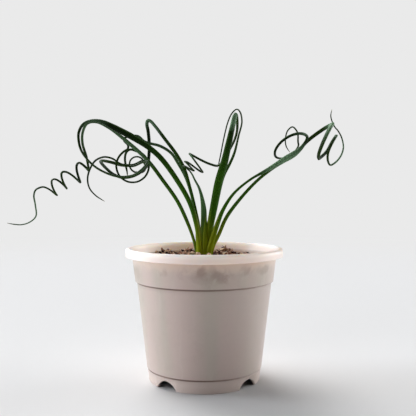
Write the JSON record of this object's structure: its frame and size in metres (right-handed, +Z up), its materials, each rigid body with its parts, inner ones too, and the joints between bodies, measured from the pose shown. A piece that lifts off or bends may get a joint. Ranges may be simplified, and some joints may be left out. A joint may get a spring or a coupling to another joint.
{
  "type": "potted corkscrew albuca",
  "caption": "Corkscrew albuca with slim arching leaves that coil at their ends, growing from bark mix in a plain tapered plastic nursery pot with a lipped rim and notched foot.",
  "frame": {"origin": "on the ground, under the middle of the whole plant's bounding box; the pot's axis stands at X = 22.3 mm, Y = 0", "axes": "+Z up along the pot's axis, +X to the right along the spread of the leaves, +Y away from the side that the leaves show best"},
  "size_m": [0.2776, 0.125, 0.2167],
  "materials": {
    "pot_plastic": "satin moulded plastic, pale greyish beige, soil stained",
    "soil_mix": "coarse bark and coir mix, rough",
    "bulb_skin": "papery bulb tunic",
    "leaf_green": "semi-gloss leaf, dark green with olive foot and grey-green sheen"
  },
  "bodies": {
    "root": {"pot": "pot_plastic", "soil_with_bark": "soil_mix", "bulb": "bulb_skin", "leaf_long_left": "leaf_green", "leaf_arched_left": "leaf_green", "leaf_high_left": "leaf_green", "leaf_back_left": "leaf_green", "leaf_short_centre": "leaf_green", "leaf_tall_centre": "leaf_green", "leaf_thin_centre": "leaf_green", "leaf_upper_right": "leaf_green", "leaf_outer_right": "leaf_green"}
  },
  "joints": []
}
